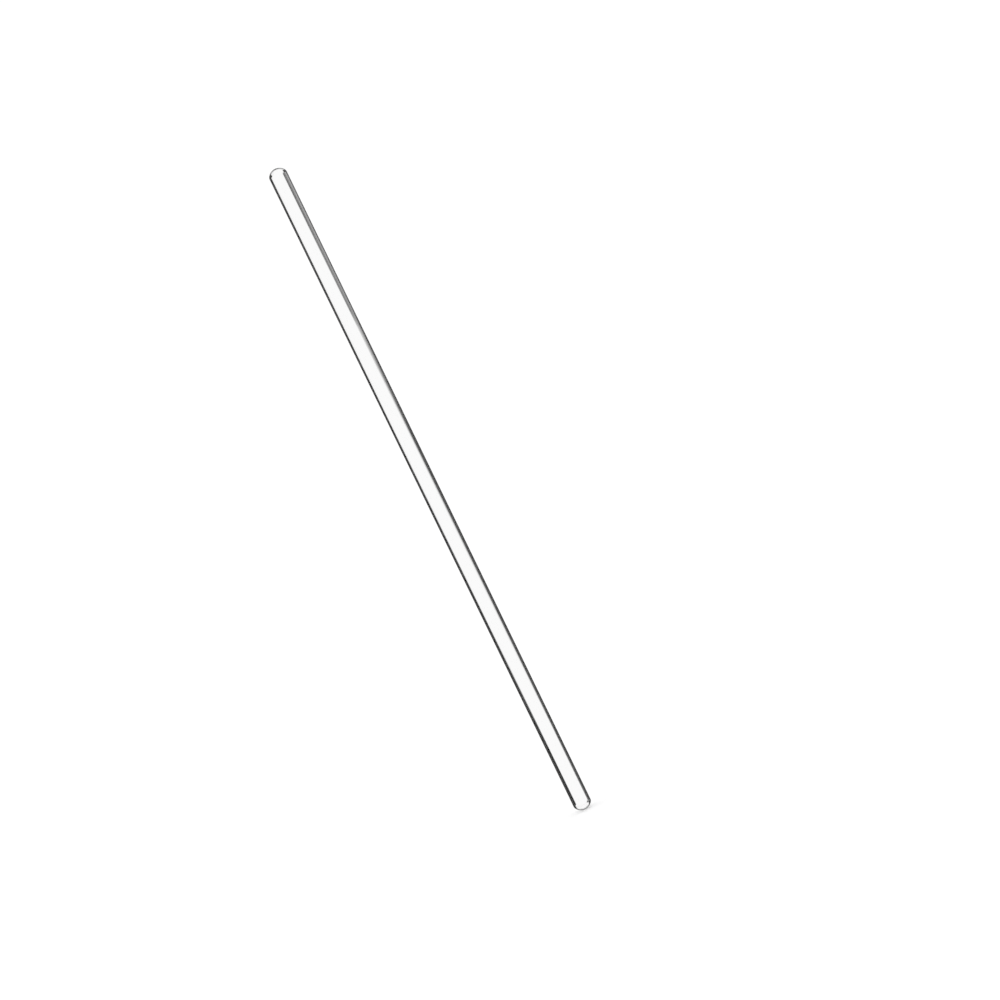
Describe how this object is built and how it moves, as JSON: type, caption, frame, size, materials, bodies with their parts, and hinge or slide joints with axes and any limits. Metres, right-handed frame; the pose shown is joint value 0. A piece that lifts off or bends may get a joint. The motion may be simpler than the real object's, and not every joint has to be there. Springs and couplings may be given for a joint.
{
  "type": "glass stirring rod",
  "caption": "Plain round rod of clear glass with both ends melted smooth and round, for stirring and for guiding liquid as it is poured.",
  "frame": {"origin": "the lowest point of the stirring end, on the rod's axis, where the rod touches the floor of a vessel", "axes": "+Z along the rod's axis, from the stirring end up to the hand end; X and Y are any two directions across it, because the rod is round"},
  "size_m": [0.004, 0.004, 0.15],
  "materials": {
    "clear_glass": "clear colourless borosilicate glass, drawn smooth, ends melted round in a flame"
  },
  "bodies": {
    "root": {"stirring_rod": "clear_glass"}
  },
  "joints": []
}
